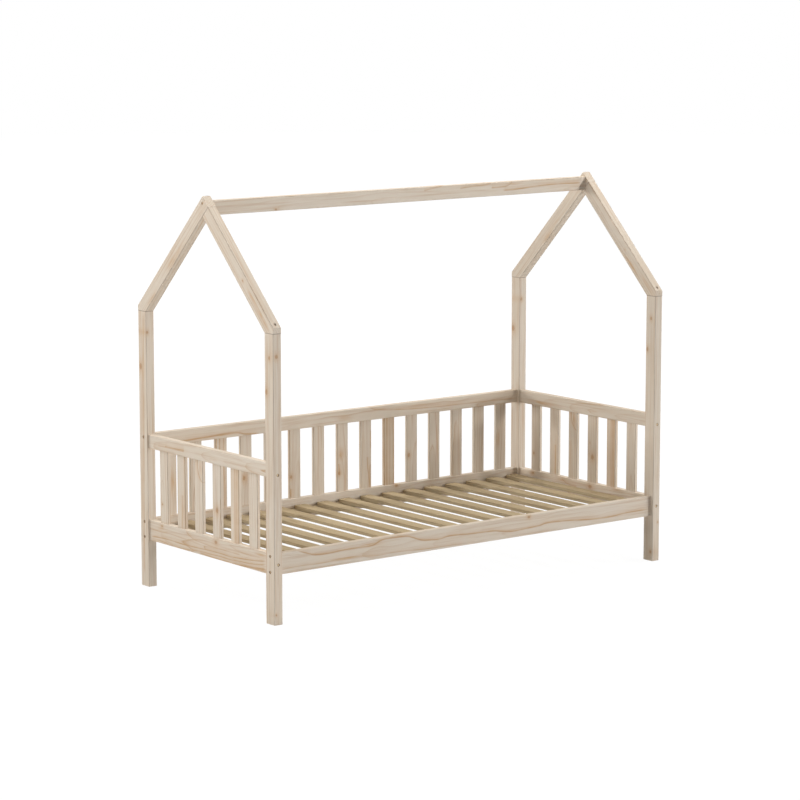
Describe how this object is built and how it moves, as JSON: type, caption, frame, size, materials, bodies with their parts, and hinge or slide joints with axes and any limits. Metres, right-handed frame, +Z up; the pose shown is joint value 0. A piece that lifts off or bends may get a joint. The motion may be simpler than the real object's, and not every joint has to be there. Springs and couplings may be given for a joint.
{
  "type": "bed with guardrail",
  "caption": "House-frame single bed in pine with slatted guard panels at the back and both ends, an open front, a slatted base and a ridge beam between gables.",
  "frame": {"origin": "on the floor, under the middle of the bed", "axes": "+X along the bed to the right as seen from the open front, +Y to the guarded back, +Z up"},
  "size_m": [2.128, 0.998, 1.7258],
  "materials": {
    "pine": "unfinished planed pine",
    "base_pine": "unfinished planed pine",
    "steel": "yellow zinc",
    "beech": "plain beech"
  },
  "bodies": {
    "root": {"front_left_post": "pine", "front_right_post": "pine", "back_left_post": "pine", "back_right_post": "pine", "left_front_rafter": "pine", "left_back_rafter": "pine", "right_front_rafter": "pine", "right_back_rafter": "pine", "ridge_beam": "pine", "front_side_rail": "pine", "back_side_rail": "pine", "left_end_rail": "pine", "right_end_rail": "pine", "back_guard_rail": "pine", "left_guard_rail": "pine", "right_guard_rail": "pine", "back_guard_slat_1": "pine", "back_guard_slat_2": "pine", "back_guard_slat_3": "pine", "back_guard_slat_4": "pine", "back_guard_slat_5": "pine", "back_guard_slat_6": "pine", "back_guard_slat_7": "pine", "back_guard_slat_8": "pine", "back_guard_slat_9": "pine", "back_guard_slat_10": "pine", "back_guard_slat_11": "pine", "back_guard_slat_12": "pine", "back_guard_slat_13": "pine", "back_guard_slat_14": "pine", "back_guard_slat_15": "pine", "left_guard_slat_1": "pine", "left_guard_slat_2": "pine", "left_guard_slat_3": "pine", "left_guard_slat_4": "pine", "left_guard_slat_5": "pine", "left_guard_slat_6": "pine", "right_guard_slat_1": "pine", "right_guard_slat_2": "pine", "right_guard_slat_3": "pine", "right_guard_slat_4": "pine", "right_guard_slat_5": "pine", "right_guard_slat_6": "pine", "front_slat_bearer": "base_pine", "back_slat_bearer": "base_pine", "base_slats": "base_pine", "short_frame_screws": "steel", "long_frame_screws": "steel", "bearer_screws": "steel", "base_slat_screws": "steel", "dowels": "beech"}
  },
  "joints": []
}
